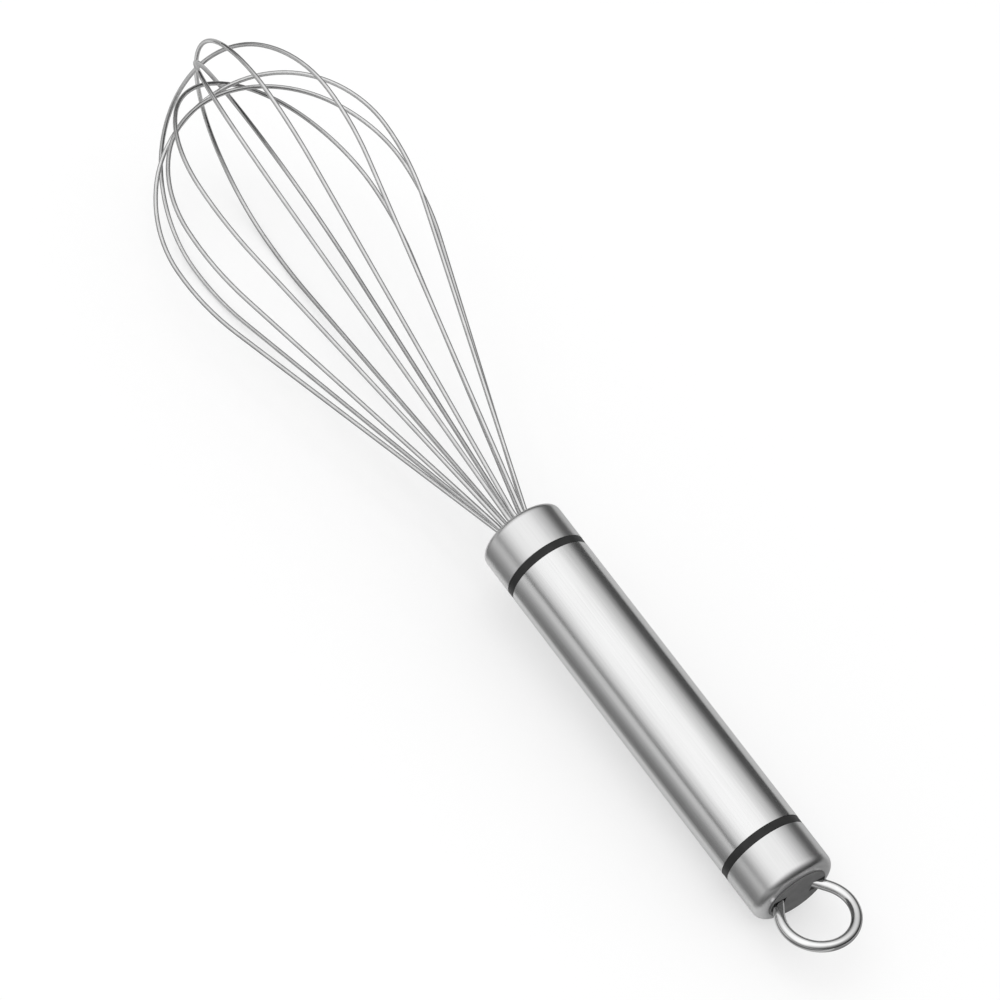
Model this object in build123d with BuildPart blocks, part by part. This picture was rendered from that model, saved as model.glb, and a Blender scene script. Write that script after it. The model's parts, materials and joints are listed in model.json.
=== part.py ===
from build123d import *
from math import asin, atan2, cos, degrees, hypot, radians, sin, tan
import os

# Balloon whisk with a hanging ring. Millimetres and degrees.
# It is drawn along its own axis: X starts at the tail end of the handle and runs to the head.
# Turns round that axis are counted from Y towards Z. Then the whisk is laid down as it rests.

# Handle
handle_d = 23.0
tube_len = 90.2
tube_wall = 0.7
cap_wall = 0.9
rear_cap_len = 12.8
rear_cap_corner_r = 2.7
front_cap_len = 11.8
front_cap_corner_r = 1.8
mouth_r = 5.3
mouth_edge_r = 0.4
band_width = 2.3
band_recess = 0.05
band_edge_r = 0.2
glue_gap = 0.05

# Plugs inside the handle
plug_depth = 10.0
plug_wall = 2.4
plug_floor = 5.0
plug_lead_in = 0.5

# Wire holder
holder_len = 17.0
holder_flange_r = 7.5
holder_flange_t = 3.0
holder_proud = 0.3
holder_edge_r = 0.3
bore_circle_r = 3.75
bore_depth = 10.0
bores = 12
first_bore_turn = -6.0
bore_pitch = 360 / bores

# Wire loops
wire_d = 1.2
wire_straight = 0.5
neck_out = 3.3
neck_r = 4.2
belly_r = 33.5
flank_r = 89.0
shoulder_r = 41.5
shoulder_turn = 35.5
loop_height = 161.0
lean_angle = 142.0
bend_share = 0.45

# Number of each loop: bore pair, twist off its bores, lean, and how many wire thicknesses its crown
# lies under the tallest one
loop_shares = {
    1: (5, 3.0, 1.9, 8.5),
    2: (0, 5.0, 3.8, 10.3),
    3: (4, 0.5, 1.0, 1.5),
    4: (1, -1.0, 3.5, 7.25),
    5: (3, -7.0, 2.6, 0.0),
    6: (2, -1.0, 3.2, 3.35),
}

# End disc and hanging ring
disc_d = 16.6
disc_proud = 0.4
disc_edge_r = 0.2
disc_rim = 0.3
hinge_depth = 2.2
bearing_len = 3.2
bearing_gap = 0.07
slot_width = 4.3
slot_gap = 0.25
ring_wire_d = 2.8
ring_mean_r = 9.4
leg_spacing = 12.0
leg_slope = 55.0
ring_bend_r = 2.4
ring_angle = -6.5
ring_raise = 10.0

# Stations along the axis
handle_r = handle_d / 2
x_rear_band = rear_cap_len
x_tube = x_rear_band + band_width
x_front_band = x_tube + tube_len
x_front_cap = x_front_band + band_width
x_nose = x_front_cap + front_cap_len
x_holder = x_nose + holder_proud
x_neck = x_nose + neck_out
x_hinge = hinge_depth - disc_proud

# Radii of the plugs
plug_in_cap_r = handle_r - cap_wall - glue_gap
plug_in_tube_r = handle_r - tube_wall - glue_gap
holder_r = mouth_r - glue_gap


def outward(turn):
    """Unit vector square to the handle's axis at a turn."""
    return Vector(0, cos(radians(turn)), sin(radians(turn)))


def wire_start(path):
    """Plane square to a wire's path at its start."""
    return Plane(origin=path @ 0, z_dir=path % 0)


# Tube: a plain thin-walled grip
with BuildPart() as handle_tube:
    with BuildSketch(Plane.YZ.offset(x_tube)):
        Circle(handle_r)
        Circle(handle_r - tube_wall, mode=Mode.SUBTRACT)
    extrude(amount=tube_len)

# Rear cap: drawn cup with a rounded corner and a round window for the disc
with BuildPart() as rear_cap:
    with BuildSketch(Plane.YZ):
        Circle(handle_r)
    extrude(amount=rear_cap_len)
    fillet(rear_cap.edges().sort_by(Axis.X)[0], radius=rear_cap_corner_r)
    offset(amount=-cap_wall, openings=rear_cap.faces().sort_by(Axis.X)[-1])
    with BuildSketch(Plane.YZ):
        Circle(disc_d / 2 + glue_gap)
    extrude(amount=cap_wall, mode=Mode.SUBTRACT)

# Front cap: drawn cup with a tighter corner and the wires' mouth, its lip rounded over
with BuildPart() as front_cap:
    with BuildSketch(Plane.YZ.offset(x_front_cap)):
        Circle(handle_r)
    extrude(amount=front_cap_len)
    fillet(front_cap.edges().sort_by(Axis.X)[-1], radius=front_cap_corner_r)
    offset(amount=-cap_wall, openings=front_cap.faces().sort_by(Axis.X)[0])
    with BuildSketch(Plane.YZ.offset(x_nose)):
        Circle(mouth_r)
    extrude(amount=-cap_wall, mode=Mode.SUBTRACT)
    mouth = front_cap.edges().filter_by(GeomType.CIRCLE).group_by(Axis.X)[-1].sort_by(SortBy.RADIUS)[0]
    fillet(mouth, radius=mouth_edge_r)


def band(x_start):
    """Plastic ring that parts a cap from the tube."""
    with BuildPart() as ring:
        with BuildSketch(Plane.YZ.offset(x_start)):
            Circle(handle_r - band_recess)
            Circle(handle_r - cap_wall, mode=Mode.SUBTRACT)
        extrude(amount=band_width)
        outer = ring.edges().filter_by(GeomType.CIRCLE).sort_by(SortBy.RADIUS)[-2:]
        fillet(outer, radius=band_edge_r)
    return ring


rear_band = band(x_rear_band)
front_band = band(x_front_band)

# Hinge plane: x along the ring's bar, y straight out of the tail, z the way the ring is raised
hinge_dir = outward(ring_angle)
hinge_plane = Plane(origin=(x_hinge, 0, 0), x_dir=hinge_dir, z_dir=Axis.X.direction.cross(hinge_dir))
ring_plane = Plane(hinge_plane.location * Rotation(ring_raise, 0, 0))

# The ring's straight legs stand on the disc's face and run into its round eye at a tangent
leg_foot = leg_spacing / 2
bar_corner = leg_foot - hinge_depth / tan(radians(leg_slope))
tangent_x = ring_mean_r * sin(radians(leg_slope))
tangent_y = hinge_depth + (tangent_x - leg_foot) * tan(radians(leg_slope))
eye_centre = tangent_y + ring_mean_r * cos(radians(leg_slope))

with BuildPart() as hanging_ring:
    with BuildLine(ring_plane) as ring_path:
        FilletPolyline(
            (-tangent_x, tangent_y),
            (-bar_corner, 0),
            (bar_corner, 0),
            (tangent_x, tangent_y),
            radius=ring_bend_r,
        )
        ThreePointArc((tangent_x, tangent_y), (0, eye_centre + ring_mean_r), (-tangent_x, tangent_y))
    with BuildSketch(wire_start(ring_path.wire())):
        Circle(ring_wire_d / 2)
    sweep()

# Room for the ring: a round trough for its bar, and a slot for each leg whose sides stop the swing
slot_r = ring_wire_d / 2 + slot_gap
leg_run = hinge_depth / sin(radians(leg_slope)) + slot_r / tan(radians(leg_slope))
leg_mid_out = bar_corner + leg_run / 2 * cos(radians(leg_slope))
leg_mid_up = leg_run / 2 * sin(radians(leg_slope))
with BuildPart() as ring_room:
    with BuildSketch(hinge_plane):
        Rectangle(2 * bar_corner, 2 * slot_r)
        with Locations((leg_mid_out, leg_mid_up)):
            SlotCenterToCenter(leg_run, 2 * slot_r, rotation=leg_slope)
        with Locations((-leg_mid_out, leg_mid_up)):
            SlotCenterToCenter(leg_run, 2 * slot_r, rotation=-leg_slope)
        Rectangle(bearing_len, disc_d, mode=Mode.SUBTRACT)
    extrude(amount=slot_width / 2, both=True)
    with BuildSketch(Plane.YZ.offset(x_hinge)):
        Circle(disc_d / 2 - disc_rim)
    extrude(amount=disc_d, both=True, mode=Mode.INTERSECT)
    with BuildSketch(Plane(origin=(x_hinge, 0, 0), z_dir=hinge_dir)):
        Circle(ring_wire_d / 2 + bearing_gap)
    extrude(amount=bearing_len / 2, both=True)

# End disc: stands a little proud of the rear cap and holds the ring's bar down
with BuildPart() as end_disc:
    with BuildSketch(Plane.YZ.offset(-disc_proud)):
        Circle(disc_d / 2)
    extrude(amount=hinge_depth)
    fillet(end_disc.edges().sort_by(Axis.X)[0], radius=disc_edge_r)
    add(ring_room.part, mode=Mode.SUBTRACT)

# Rear plug: closed floor with the other half of the ring's bearing, cored out from the tube side
with BuildPart() as rear_insert:
    with BuildSketch(Plane.YZ.offset(x_hinge)):
        Circle(plug_in_cap_r)
    extrude(amount=x_tube - x_hinge)
    fillet(rear_insert.edges().sort_by(Axis.X)[0], radius=rear_cap_corner_r - cap_wall - glue_gap)
    with BuildSketch(Plane.YZ.offset(x_tube)):
        Circle(plug_in_tube_r)
    extrude(amount=plug_depth)
    chamfer(rear_insert.edges().sort_by(Axis.X)[-1], length=plug_lead_in)
    with BuildSketch(Plane.YZ.offset(x_tube + plug_depth)):
        Circle(plug_in_tube_r - plug_wall)
    extrude(amount=x_hinge + plug_floor - x_tube - plug_depth, mode=Mode.SUBTRACT)
    add(ring_room.part, mode=Mode.SUBTRACT)

# Front plug: bored for the wire holder, with a seat for its flange
x_flange = x_holder - holder_len + holder_flange_t
with BuildPart() as front_insert:
    with BuildSketch(Plane.YZ.offset(x_front_band)):
        Circle(plug_in_cap_r)
    extrude(amount=x_nose - cap_wall - glue_gap - x_front_band)
    fillet(front_insert.edges().sort_by(Axis.X)[-1], radius=front_cap_corner_r - cap_wall - glue_gap)
    with BuildSketch(Plane.YZ.offset(x_front_band)):
        Circle(plug_in_tube_r)
    extrude(amount=-plug_depth)
    chamfer(front_insert.edges().sort_by(Axis.X)[0], length=plug_lead_in)
    with BuildSketch(Plane.YZ.offset(x_nose)):
        Circle(holder_r + glue_gap)
    extrude(amount=x_front_band - plug_depth - x_nose, mode=Mode.SUBTRACT)
    with BuildSketch(Plane.YZ.offset(x_front_band - plug_depth)):
        Circle(holder_flange_r + glue_gap)
    extrude(amount=x_flange - x_front_band + plug_depth, mode=Mode.SUBTRACT)

# Wire holder: flanged plug with a ring of blind bores for the wire ends
with BuildPart() as wire_holder:
    with BuildSketch(Plane.YZ.offset(x_holder - holder_len)):
        Circle(holder_flange_r)
    extrude(amount=holder_flange_t)
    with BuildSketch(Plane.YZ.offset(x_flange)):
        Circle(holder_r)
    extrude(amount=x_holder - x_flange)
    chamfer(wire_holder.edges().sort_by(Axis.X)[-1], length=holder_edge_r)
    with BuildSketch(Plane.YZ.offset(x_holder)):
        with PolarLocations(bore_circle_r, bores, start_angle=first_bore_turn):
            Circle(wire_d / 2 + glue_gap)
    extrude(amount=-bore_depth, mode=Mode.SUBTRACT)

crown_r = (belly_r - shoulder_r * (1 - cos(radians(shoulder_turn)))) / cos(radians(shoulder_turn))


def loop_marks(height):
    """Marks along half a loop: foot and end of the cone's straight, flank, belly, shoulder, crown."""
    belly_x = height - shoulder_r * sin(radians(shoulder_turn)) - crown_r * (1 - sin(radians(shoulder_turn)))
    centre_y = belly_r - flank_r
    reach = hypot(belly_x, centre_y - neck_r)
    cone = degrees(atan2(centre_y - neck_r, belly_x) + asin(flank_r / reach))

    def flank(turned):
        return belly_x - flank_r * sin(radians(turned)), centre_y + flank_r * cos(radians(turned))

    def shoulder(turned):
        centre = belly_r - shoulder_r
        return belly_x + shoulder_r * sin(radians(turned)), centre + shoulder_r * cos(radians(turned))

    flanks = [flank(cone), flank(cone / 2), flank(0)]
    return flanks + [shoulder(shoulder_turn / 2), shoulder(shoulder_turn), (height, 0)]


def loop_plane(turn, lean):
    """Plane of a leaning loop: x along its own axis, y across it."""
    pivot = Axis((0, 0, 0), Axis.X.direction.cross(outward(lean_angle)))
    along = Vector(1, 0, 0).rotate(pivot, lean)
    across = outward(turn).rotate(pivot, lean)
    return Plane(origin=(x_neck, 0, 0), x_dir=along, z_dir=along.cross(across))


def bend_radii(points):
    """Fillet radius for each corner, a set share of the shorter run beside it."""
    radii = []
    for before, corner, after in zip(points, points[1:], points[2:]):
        run_in = corner - before
        run_out = after - corner
        shorter = min(run_in.length, run_out.length)
        radii.append(bend_share * shorter / tan(radians(run_in.get_angle(run_out) / 2)))
    return radii


def wire_loop(number):
    """One unbroken wire: out of one bore, round the cage and back into the bore opposite."""
    bore, twist, lean, drop = loop_shares[number]
    bore_turn = first_bore_turn + bore * bore_pitch
    plane = loop_plane(bore_turn + twist, lean)
    marks = loop_marks(loop_height - drop * wire_d)

    def on_loop(mark, side):
        return plane.from_local_coords((mark[0], side * mark[1], 0))

    def root(side):
        foot = outward(bore_turn) * (side * bore_circle_r)
        inner_end = foot + Vector(x_holder - bore_depth + glue_gap, 0, 0)
        bend = foot + Vector(x_holder + wire_straight, 0, 0)
        return [inner_end, bend, on_loop((0, neck_r), side), on_loop(marks[0], side)]

    with BuildPart() as loop:
        with BuildLine() as path:
            for side in (1, -1):
                FilletPolyline(*root(side), radius=bend_radii(root(side)))
                ThreePointArc(*[on_loop(mark, side) for mark in marks[0:3]])
                ThreePointArc(*[on_loop(mark, side) for mark in marks[2:5]])
            ThreePointArc(on_loop(marks[4], 1), on_loop(marks[5], 1), on_loop(marks[4], -1))
        with BuildSketch(wire_start(path.wire())):
            Circle(wire_d / 2)
        sweep()
    return loop


pieces = {
    "handle_tube": handle_tube,
    "rear_cap": rear_cap,
    "rear_band": rear_band,
    "rear_insert": rear_insert,
    "end_disc": end_disc,
    "hanging_ring": hanging_ring,
    "front_band": front_band,
    "front_insert": front_insert,
    "front_cap": front_cap,
    "wire_holder": wire_holder,
}
for number in loop_shares:
    pieces[f"wire_loop_{number}"] = wire_loop(number)


def tilted(shape, pitch):
    """Bounding box of a shape with the whisk's head raised by the pitch."""
    return (Rotation(0, -pitch, 0) * shape).bounding_box()


def head_gap(pitch):
    """How far the lowest wire stands above the rear cap's lowest edge."""
    loops = [pieces[f"wire_loop_{number}"].part for number in loop_shares]
    lowest = min(tilted(loop, pitch).min.Z for loop in loops)
    return lowest - tilted(rear_cap.part, pitch).min.Z


# Laid down: the head is raised until its lowest wire is level with the rear cap's edge
pitch = 0.0
for step in range(4):
    pitch -= degrees(head_gap(pitch) / (x_neck + loop_marks(loop_height)[2][0]))
whole = Compound(label="whisk", children=[Rotation(0, -pitch, 0) * piece.part for piece in pieces.values()])
box = whole.bounding_box()
lay = Location((-box.center().X, -box.center().Y, -box.min.Z)) * Rotation(0, -pitch, 0)

os.makedirs("parts", exist_ok=True)
for name, piece in pieces.items():
    piece.part.label = name
    piece.part.move(lay)
    export_step(piece.part, f"parts/{name}.step")

hinge = lay * hinge_plane.location
print(f"overall {box.size.X:.2f} x {box.size.Y:.2f} x {box.size.Z:.2f}, pitch {pitch:.3f}")
print("hinge at", hinge.position)
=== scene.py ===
import json
import math

import bpy
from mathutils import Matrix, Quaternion, Vector


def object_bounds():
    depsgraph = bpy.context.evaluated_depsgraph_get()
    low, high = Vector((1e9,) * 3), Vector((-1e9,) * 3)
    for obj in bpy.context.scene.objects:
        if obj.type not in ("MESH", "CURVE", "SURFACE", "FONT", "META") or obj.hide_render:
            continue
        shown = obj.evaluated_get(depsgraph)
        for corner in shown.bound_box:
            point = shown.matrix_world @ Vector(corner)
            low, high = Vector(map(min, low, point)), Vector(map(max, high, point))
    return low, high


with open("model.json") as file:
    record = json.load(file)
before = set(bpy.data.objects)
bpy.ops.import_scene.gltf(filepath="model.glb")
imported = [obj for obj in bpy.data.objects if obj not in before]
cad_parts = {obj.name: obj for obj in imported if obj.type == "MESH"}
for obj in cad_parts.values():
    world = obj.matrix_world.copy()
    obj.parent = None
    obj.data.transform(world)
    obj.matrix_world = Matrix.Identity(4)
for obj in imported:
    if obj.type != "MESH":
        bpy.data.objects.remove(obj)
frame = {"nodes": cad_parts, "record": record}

# Looks, light and camera for the balloon whisk. Metres, in the row frame.
cad_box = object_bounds()
scene = bpy.context.scene
scene.view_settings.view_transform = "Standard"

# The whisk's own axes: along the handle to the head, level sideways, and square to both
grip = next(mount for mount in frame["record"]["mounts"] if mount["name"] == "grip")
GRIP_POS = Vector(grip["pos_m"])
HEAD_WAY = -Vector(grip["axis"]).normalized()
SIDE_WAY = Vector((0, 1, 0))
UP_WAY = HEAD_WAY.cross(SIDE_WAY).normalized()
REST_PITCH = math.asin(HEAD_WAY.z)

# Camera, at the photograph's angle. The focal share is the lens's length over the sensor's width.
CAMERA_AZIMUTH = math.radians(-48.676)
CAMERA_ELEVATION = math.radians(47.052)
CAMERA_ROLL = math.radians(16.974)
CAMERA_DISTANCE = 1.085
CAMERA_AIM = Vector((-0.00684, 0.00944, 0.02808))
CAMERA_NEAREST = 0.01
SENSOR_WIDTH = 36.0
FOCAL_SHARE = 4.30993

# Light tent, seen by reflections only. Each table holds places along a ramp, from 0 to 1, and the share
# of the full light there: by how far a direction faces the tent's bright side, by height over the
# horizon, and by how far a direction faces the tail's way.
TENT_TURN = math.radians(68)
TENT_SHARES = (
    (0.00, 0.26), (0.39, 0.10), (0.46, 0.06), (0.53, 0.09), (0.60, 0.24),
    (0.71, 0.52), (0.78, 0.64), (0.85, 0.76), (0.90, 0.94), (0.96, 1.00),
)
HORIZON_SHARES = ((0.00, 0.25), (0.08, 0.38), (0.20, 0.80), (0.32, 1.00))
TAILWARD_SHARES = (
    (0.30, 1.00), (0.52, 0.98), (0.60, 0.86), (0.66, 0.74), (0.71, 0.60),
    (0.77, 0.45), (0.83, 0.35), (0.90, 0.20), (1.00, 0.15),
)
TENT_STRENGTH = 1.2
ROOM_STRENGTH = 0.95

# Key lamp
KEY_POWER = 5.0
KEY_SIZE = 1.6
KEY_PLACE = Vector((0.25, 0.45, 1.5))

# Floor, just under the whisk. The glow is the share of plain white that the camera sees in it.
FLOOR_SIZE = 20.0
FLOOR_DROP = 0.0001
FLOOR_WHITE = 0.93
FLOOR_GLOW = 0.5

# Floor as metal mirrors it, with light and shade painted on it that only reflections see: shares of white
# by place across the whisk, with dark strips of painted shade for the whisk's own shadow beside it and a
# bright strip of painted light for highlights on the handle, and a darker stretch of painted shade from
# the tail backwards. The spans are counted from the grip's middle.
PAINTED_REFLECTION_SPAN = (-0.05, 0.11)
PAINTED_REFLECTION_SHARES = (
    (0.00, 0.55), (0.18, 0.48), (0.24, 0.36), (0.31, 0.40), (0.35, 0.85), (0.40, 0.85),
    (0.435, 0.24), (0.47, 0.20), (0.52, 0.26), (0.64, 0.40), (0.90, 0.62),
)
# Painted shade in reflections: the floor that only metal sees is darker from the tail backwards
PAINTED_TAIL_SHADE_SPAN = (-0.070, -0.057)
PAINTED_TAIL_SHADE_SHARE = 0.58

# Surfaces: where noise starts and ends to change a tone, stretch of the noise along the handle, share
# of clouds in the brushed grain, and heights of the bumps
TONE_SPAN = (0.3, 0.7)
GRAIN_STRETCH = 0.02
GRAIN_HEIGHT = 0.000004
CLOUD_STRETCH = 0.35
CLOUD_SCALE = 140.0
CLOUD_SHARE = 0.35
HAIRLINES_PER_SPECK = 9
HAIRLINE_HEIGHT = 0.000006
PEBBLES_PER_CLOUD = 12
PEBBLE_HEIGHT = 0.00002
PLASTIC_SHEEN = 0.2


def nodes_of(owner):
    """Empty node tree of a new material or world."""
    owner.use_nodes = True
    owner.node_tree.nodes.clear()
    return owner.node_tree


def socket_of(node, key):
    """Input socket by its name with _ for a space, or by its number, such as i0."""
    if key[0] == "i" and key[1:].isdigit():
        return node.inputs[int(key[1:])]
    return node.inputs[key.replace("_", " ")]


def add(tree, kind, **inputs):
    """New node with values or links for its inputs."""
    node = tree.nodes.new(kind)
    for key, value in inputs.items():
        socket = socket_of(node, key)
        if isinstance(value, bpy.types.NodeSocket):
            tree.links.new(value, socket)
        else:
            socket.default_value = value
    return node


def grey(value):
    return (value, value, value, 1.0)


WHITE = grey(1.0)


def ramp(tree, factor, stops, smooth="EASE"):
    """Grey ramp through (place, value) stops."""
    node = add(tree, "ShaderNodeValToRGB", Fac=factor)
    node.color_ramp.interpolation = smooth
    elements = node.color_ramp.elements
    while len(elements) < len(stops):
        elements.new(0.5)
    for element, (place, value) in zip(elements, stops):
        element.position = place
        element.color = grey(value)
    return node.outputs["Color"]


def mapped(tree, value, span, low=0.0, high=1.0):
    """Value within a span mapped onto low to high, and held there past its ends."""
    node = add(tree, "ShaderNodeMapRange", Value=value, From_Min=span[0], From_Max=span[1])
    socket_of(node, "To_Min").default_value = low
    socket_of(node, "To_Max").default_value = high
    return node.outputs["Result"]


def toned(tree, factor, low, high):
    """Even change from a low grey to a high one."""
    return ramp(tree, factor, ((TONE_SPAN[0], low), (TONE_SPAN[1], high)), "LINEAR")


def vector_math(tree, operation, first, second):
    node = add(tree, "ShaderNodeVectorMath", i0=first, i1=second)
    node.operation = operation
    return node


def multiplied(tree, first, second):
    return vector_math(tree, "MULTIPLY", first, second).outputs["Vector"]


def facing(tree, direction, way, shares):
    """Ramp by how far a direction faces a way: place 0 is away from it, 1 straight along it."""
    node = vector_math(tree, "DOT_PRODUCT", direction, way)
    return ramp(tree, mapped(tree, node.outputs["Value"], (-1.0, 1.0)), shares)


def mixed_shader(tree, factor, first, second):
    return add(tree, "ShaderNodeMixShader", Fac=factor, i1=first, i2=second).outputs["Shader"]


def whisk_coords(tree):
    """Object coordinates turned to the handle's axis: x along it, origin at the grip's middle."""
    place = tree.nodes.new("ShaderNodeTexCoord").outputs["Object"]
    turn = (0, -REST_PITCH, 0)
    node = add(tree, "ShaderNodeMapping", Vector=place, Location=GRIP_POS, Rotation=turn)
    node.vector_type = "TEXTURE"
    return node.outputs["Vector"]


def stretched(tree, coords, share):
    """Coordinates that make what is drawn in them longer along the handle."""
    return add(tree, "ShaderNodeMapping", Vector=coords, Scale=(share, 1, 1)).outputs["Vector"]


def noise(tree, coords, scale, detail=2.0, roughness=0.5):
    """Noise of 0 to 1, its features about 1 / scale metres wide."""
    node = add(tree, "ShaderNodeTexNoise", Vector=coords, Scale=scale, Detail=detail, Roughness=roughness)
    return node.outputs["Fac"]


def bump(tree, height, distance):
    return add(tree, "ShaderNodeBump", Height=height, Distance=distance, Strength=1.0).outputs["Normal"]


def finish_material(tree, **inputs):
    shader = add(tree, "ShaderNodeBsdfPrincipled", **inputs)
    add(tree, "ShaderNodeOutputMaterial", Surface=shader.outputs["BSDF"])


def brushed_steel(name, low, high, rough_low, rough_high, grain):
    """Satin steel, brushed lengthwise: grain lines run along the handle, with faint cloudy wear."""
    material = bpy.data.materials.new(name)
    tree = nodes_of(material)
    coords = whisk_coords(tree)
    lines = noise(tree, stretched(tree, coords, GRAIN_STRETCH), grain, detail=4.0, roughness=0.6)
    clouds = noise(tree, stretched(tree, coords, CLOUD_STRETCH), CLOUD_SCALE)
    worn = add(tree, "ShaderNodeMix", Factor=CLOUD_SHARE, A=lines, B=clouds).outputs["Result"]
    finish_material(
        tree,
        Base_Color=toned(tree, worn, low, high),
        Metallic=1.0,
        Roughness=mapped(tree, worn, (0.0, 1.0), rough_low, rough_high),
        Normal=bump(tree, lines, GRAIN_HEIGHT),
    )
    return material


def polished_steel(name, low, high, rough_low, rough_high, speck):
    """Bright drawn steel with hairline unevenness and dull specks from use."""
    material = bpy.data.materials.new(name)
    tree = nodes_of(material)
    coords = whisk_coords(tree)
    wear = noise(tree, coords, speck, detail=3.0)
    hairlines = noise(tree, coords, speck * HAIRLINES_PER_SPECK)
    finish_material(
        tree,
        Base_Color=toned(tree, wear, low, high),
        Metallic=1.0,
        Roughness=mapped(tree, wear, (0.0, 1.0), rough_low, rough_high),
        Normal=bump(tree, hairlines, HAIRLINE_HEIGHT),
    )
    return material


def moulded_plastic(name, low, high, rough_low, rough_high, pebble):
    """Moulded plastic with a fine pebbled skin and slightly uneven colour."""
    material = bpy.data.materials.new(name)
    tree = nodes_of(material)
    coords = whisk_coords(tree)
    skin = noise(tree, coords, pebble)
    clouds = noise(tree, coords, pebble / PEBBLES_PER_CLOUD)
    finish_material(
        tree,
        Base_Color=toned(tree, clouds, low, high),
        Roughness=mapped(tree, clouds, (0.0, 1.0), rough_low, rough_high),
        Specular_IOR_Level=PLASTIC_SHEEN,
        Normal=bump(tree, skin, PEBBLE_HEIGHT),
    )
    return material


# Finish of each slot: least and greatest grey, least and greatest roughness, and scale of its noise
finishes = {
    "handle_steel": brushed_steel("handle_steel", 0.72, 0.80, 0.17, 0.24, 2600.0),
    "cap_steel": brushed_steel("cap_steel", 0.69, 0.76, 0.25, 0.33, 2600.0),
    "wire_steel": polished_steel("wire_steel", 0.61, 0.71, 0.14, 0.24, 260.0),
    "ring_steel": polished_steel("ring_steel", 0.78, 0.84, 0.06, 0.12, 320.0),
    "band_plastic": moulded_plastic("band_plastic", 0.018, 0.028, 0.38, 0.48, 3000.0),
    "disc_plastic": moulded_plastic("disc_plastic", 0.115, 0.145, 0.55, 0.65, 3000.0),
    "inner_plastic": moulded_plastic("inner_plastic", 0.06, 0.08, 0.5, 0.6, 3000.0),
}
for subpart in frame["record"]["subparts"]:
    for slot in frame["nodes"][subpart["node"]].material_slots:
        slot.material = finishes[subpart["material_slot"]]


def floor_looks():
    """Pale and plain to the camera, keeping the shadow; where metal mirrors it, painted strips of grey
    and white stand in for shade and highlights.
    """
    material = bpy.data.materials.new("floor_pale")
    tree = nodes_of(material)
    path = tree.nodes.new("ShaderNodeLightPath")
    place = tree.nodes.new("ShaderNodeTexCoord").outputs["Object"]
    place = add(tree, "ShaderNodeSeparateXYZ", Vector=place)
    across_span = [GRIP_POS.y + end for end in PAINTED_REFLECTION_SPAN]
    across = mapped(tree, place.outputs["Y"], across_span)
    # Painted shade: the floor as metal mirrors it is darker from the tail backwards
    tail_span = [GRIP_POS.x + end for end in PAINTED_TAIL_SHADE_SPAN]
    painted_tail_shade = mapped(tree, place.outputs["X"], tail_span, PAINTED_TAIL_SHADE_SHARE, 1.0)
    matt = add(tree, "ShaderNodeBsdfDiffuse", Color=grey(FLOOR_WHITE)).outputs["BSDF"]
    glow = add(tree, "ShaderNodeEmission", Color=WHITE, Strength=1.0).outputs["Emission"]
    glow_share = add(tree, "ShaderNodeMath", i0=path.outputs["Is Camera Ray"], i1=FLOOR_GLOW)
    glow_share.operation = "MULTIPLY"
    seen = mixed_shader(tree, glow_share.outputs["Value"], matt, glow)
    # Painted reflection: strips of painted shade and painted light in the floor, seen only by glossy rays
    painted_reflection = multiplied(tree, ramp(tree, across, PAINTED_REFLECTION_SHARES), painted_tail_shade)
    painted_reflection = add(tree, "ShaderNodeBsdfDiffuse", Color=painted_reflection).outputs["BSDF"]
    surface = mixed_shader(tree, path.outputs["Is Glossy Ray"], seen, painted_reflection)
    add(tree, "ShaderNodeOutputMaterial", Surface=surface)
    return material


floor_mesh = bpy.data.meshes.new("floor")
half = FLOOR_SIZE / 2
floor_z = cad_box[0][2] - FLOOR_DROP
corners = [(-half, -half, floor_z), (half, -half, floor_z), (half, half, floor_z), (-half, half, floor_z)]
floor_mesh.from_pydata(corners, [], [(0, 1, 2, 3)])
floor_mesh.materials.append(floor_looks())
floor = bpy.data.objects.new("floor", floor_mesh)
scene.collection.objects.link(floor)


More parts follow.
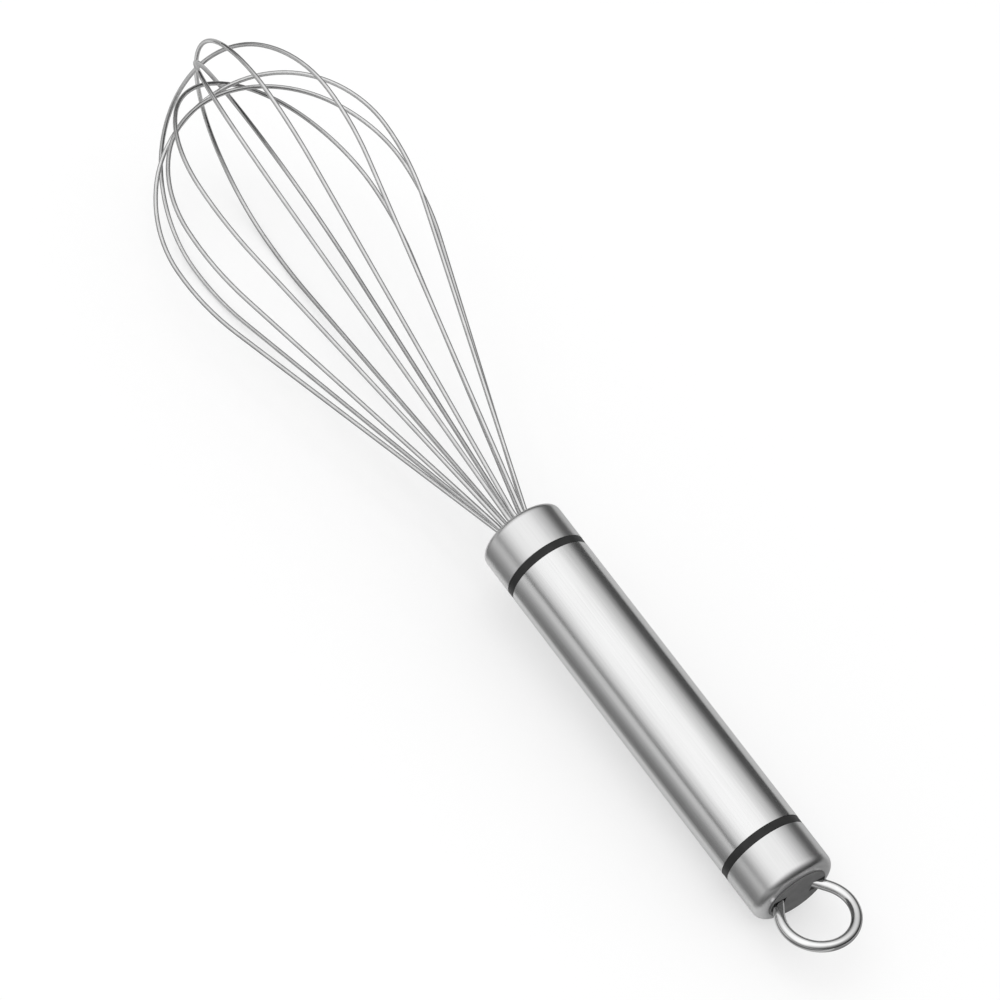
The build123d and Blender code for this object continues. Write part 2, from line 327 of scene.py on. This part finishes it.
def studio_world():
    """Plain white to the eye and to matt surfaces, the light tent to reflections."""
    world = bpy.data.worlds.new("studio")
    tree = nodes_of(world)
    # Sampled as a lamp, the world would skip the question whether a ray is glossy
    world.cycles.sampling_method = "NONE"
    tent_way = SIDE_WAY * math.cos(TENT_TURN) + UP_WAY * math.sin(TENT_TURN)
    direction = tree.nodes.new("ShaderNodeTexCoord").outputs["Generated"]
    height = add(tree, "ShaderNodeSeparateXYZ", Vector=direction).outputs["Z"]
    light = facing(tree, direction, tent_way, TENT_SHARES)
    light = multiplied(tree, light, ramp(tree, height, HORIZON_SHARES))
    light = multiplied(tree, light, facing(tree, direction, -HEAD_WAY, TAILWARD_SHARES))
    tent = add(tree, "ShaderNodeBackground", Color=light, Strength=TENT_STRENGTH).outputs["Background"]
    room = add(tree, "ShaderNodeBackground", Color=WHITE, Strength=ROOM_STRENGTH).outputs["Background"]
    eye = add(tree, "ShaderNodeBackground", Color=WHITE, Strength=1.0).outputs["Background"]
    path = tree.nodes.new("ShaderNodeLightPath")
    lit = mixed_shader(tree, path.outputs["Is Glossy Ray"], room, tent)
    surface = mixed_shader(tree, path.outputs["Is Camera Ray"], lit, eye)
    add(tree, "ShaderNodeOutputWorld", Surface=surface)
    return world


scene.world = studio_world()

# Key lamp: large and soft, it only gives the floor its faint shadow
key_data = bpy.data.lights.new("key", "AREA")
key_data.shape = "DISK"
key_data.size = KEY_SIZE
key_data.energy = KEY_POWER
key = bpy.data.objects.new("key", key_data)
key.location = KEY_PLACE
key.rotation_mode = "QUATERNION"
key.rotation_quaternion = KEY_PLACE.to_track_quat("Z", "Y")
key.visible_glossy = False
scene.collection.objects.link(key)

# Camera
back = Vector((
    -math.cos(CAMERA_ELEVATION) * math.cos(CAMERA_AZIMUTH),
    -math.cos(CAMERA_ELEVATION) * math.sin(CAMERA_AZIMUTH),
    math.sin(CAMERA_ELEVATION),
))
camera_data = bpy.data.cameras.new("camera")
camera_data.sensor_width = SENSOR_WIDTH
camera_data.lens = FOCAL_SHARE * SENSOR_WIDTH
camera_data.clip_start = CAMERA_NEAREST
camera = bpy.data.objects.new("camera", camera_data)
camera.location = CAMERA_AIM + CAMERA_DISTANCE * back
camera.rotation_mode = "QUATERNION"
camera.rotation_quaternion = back.to_track_quat("Z", "Y") @ Quaternion((0, 0, 1), CAMERA_ROLL)
scene.collection.objects.link(camera)
scene.camera = camera
